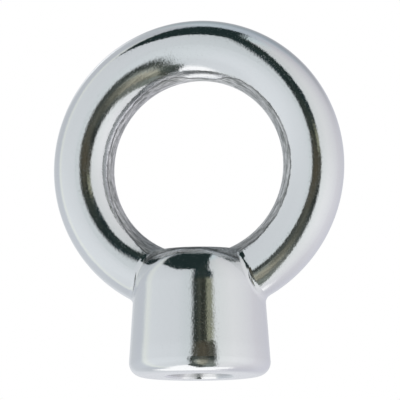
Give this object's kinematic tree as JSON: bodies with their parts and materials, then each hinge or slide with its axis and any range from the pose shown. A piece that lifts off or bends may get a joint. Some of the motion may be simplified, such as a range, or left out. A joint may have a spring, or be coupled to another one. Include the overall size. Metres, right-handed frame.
{
  "type": "lifting eye nut",
  "caption": "Lifting eye nut: a ring of round bar on a tapered boss, tapped from its flat seat through to the eye.",
  "frame": {"origin": "centre of the boss's flat seat, on the thread's axis", "axes": "+Z along the thread and up through the eye, +Y along the eye's axis, +X across the ring"},
  "size_m": [0.044, 0.0208, 0.053],
  "materials": {
    "polished_steel": "polished cast stainless steel, duller inside the eye"
  },
  "bodies": {
    "root": {"eye_nut": "polished_steel"}
  },
  "joints": []
}
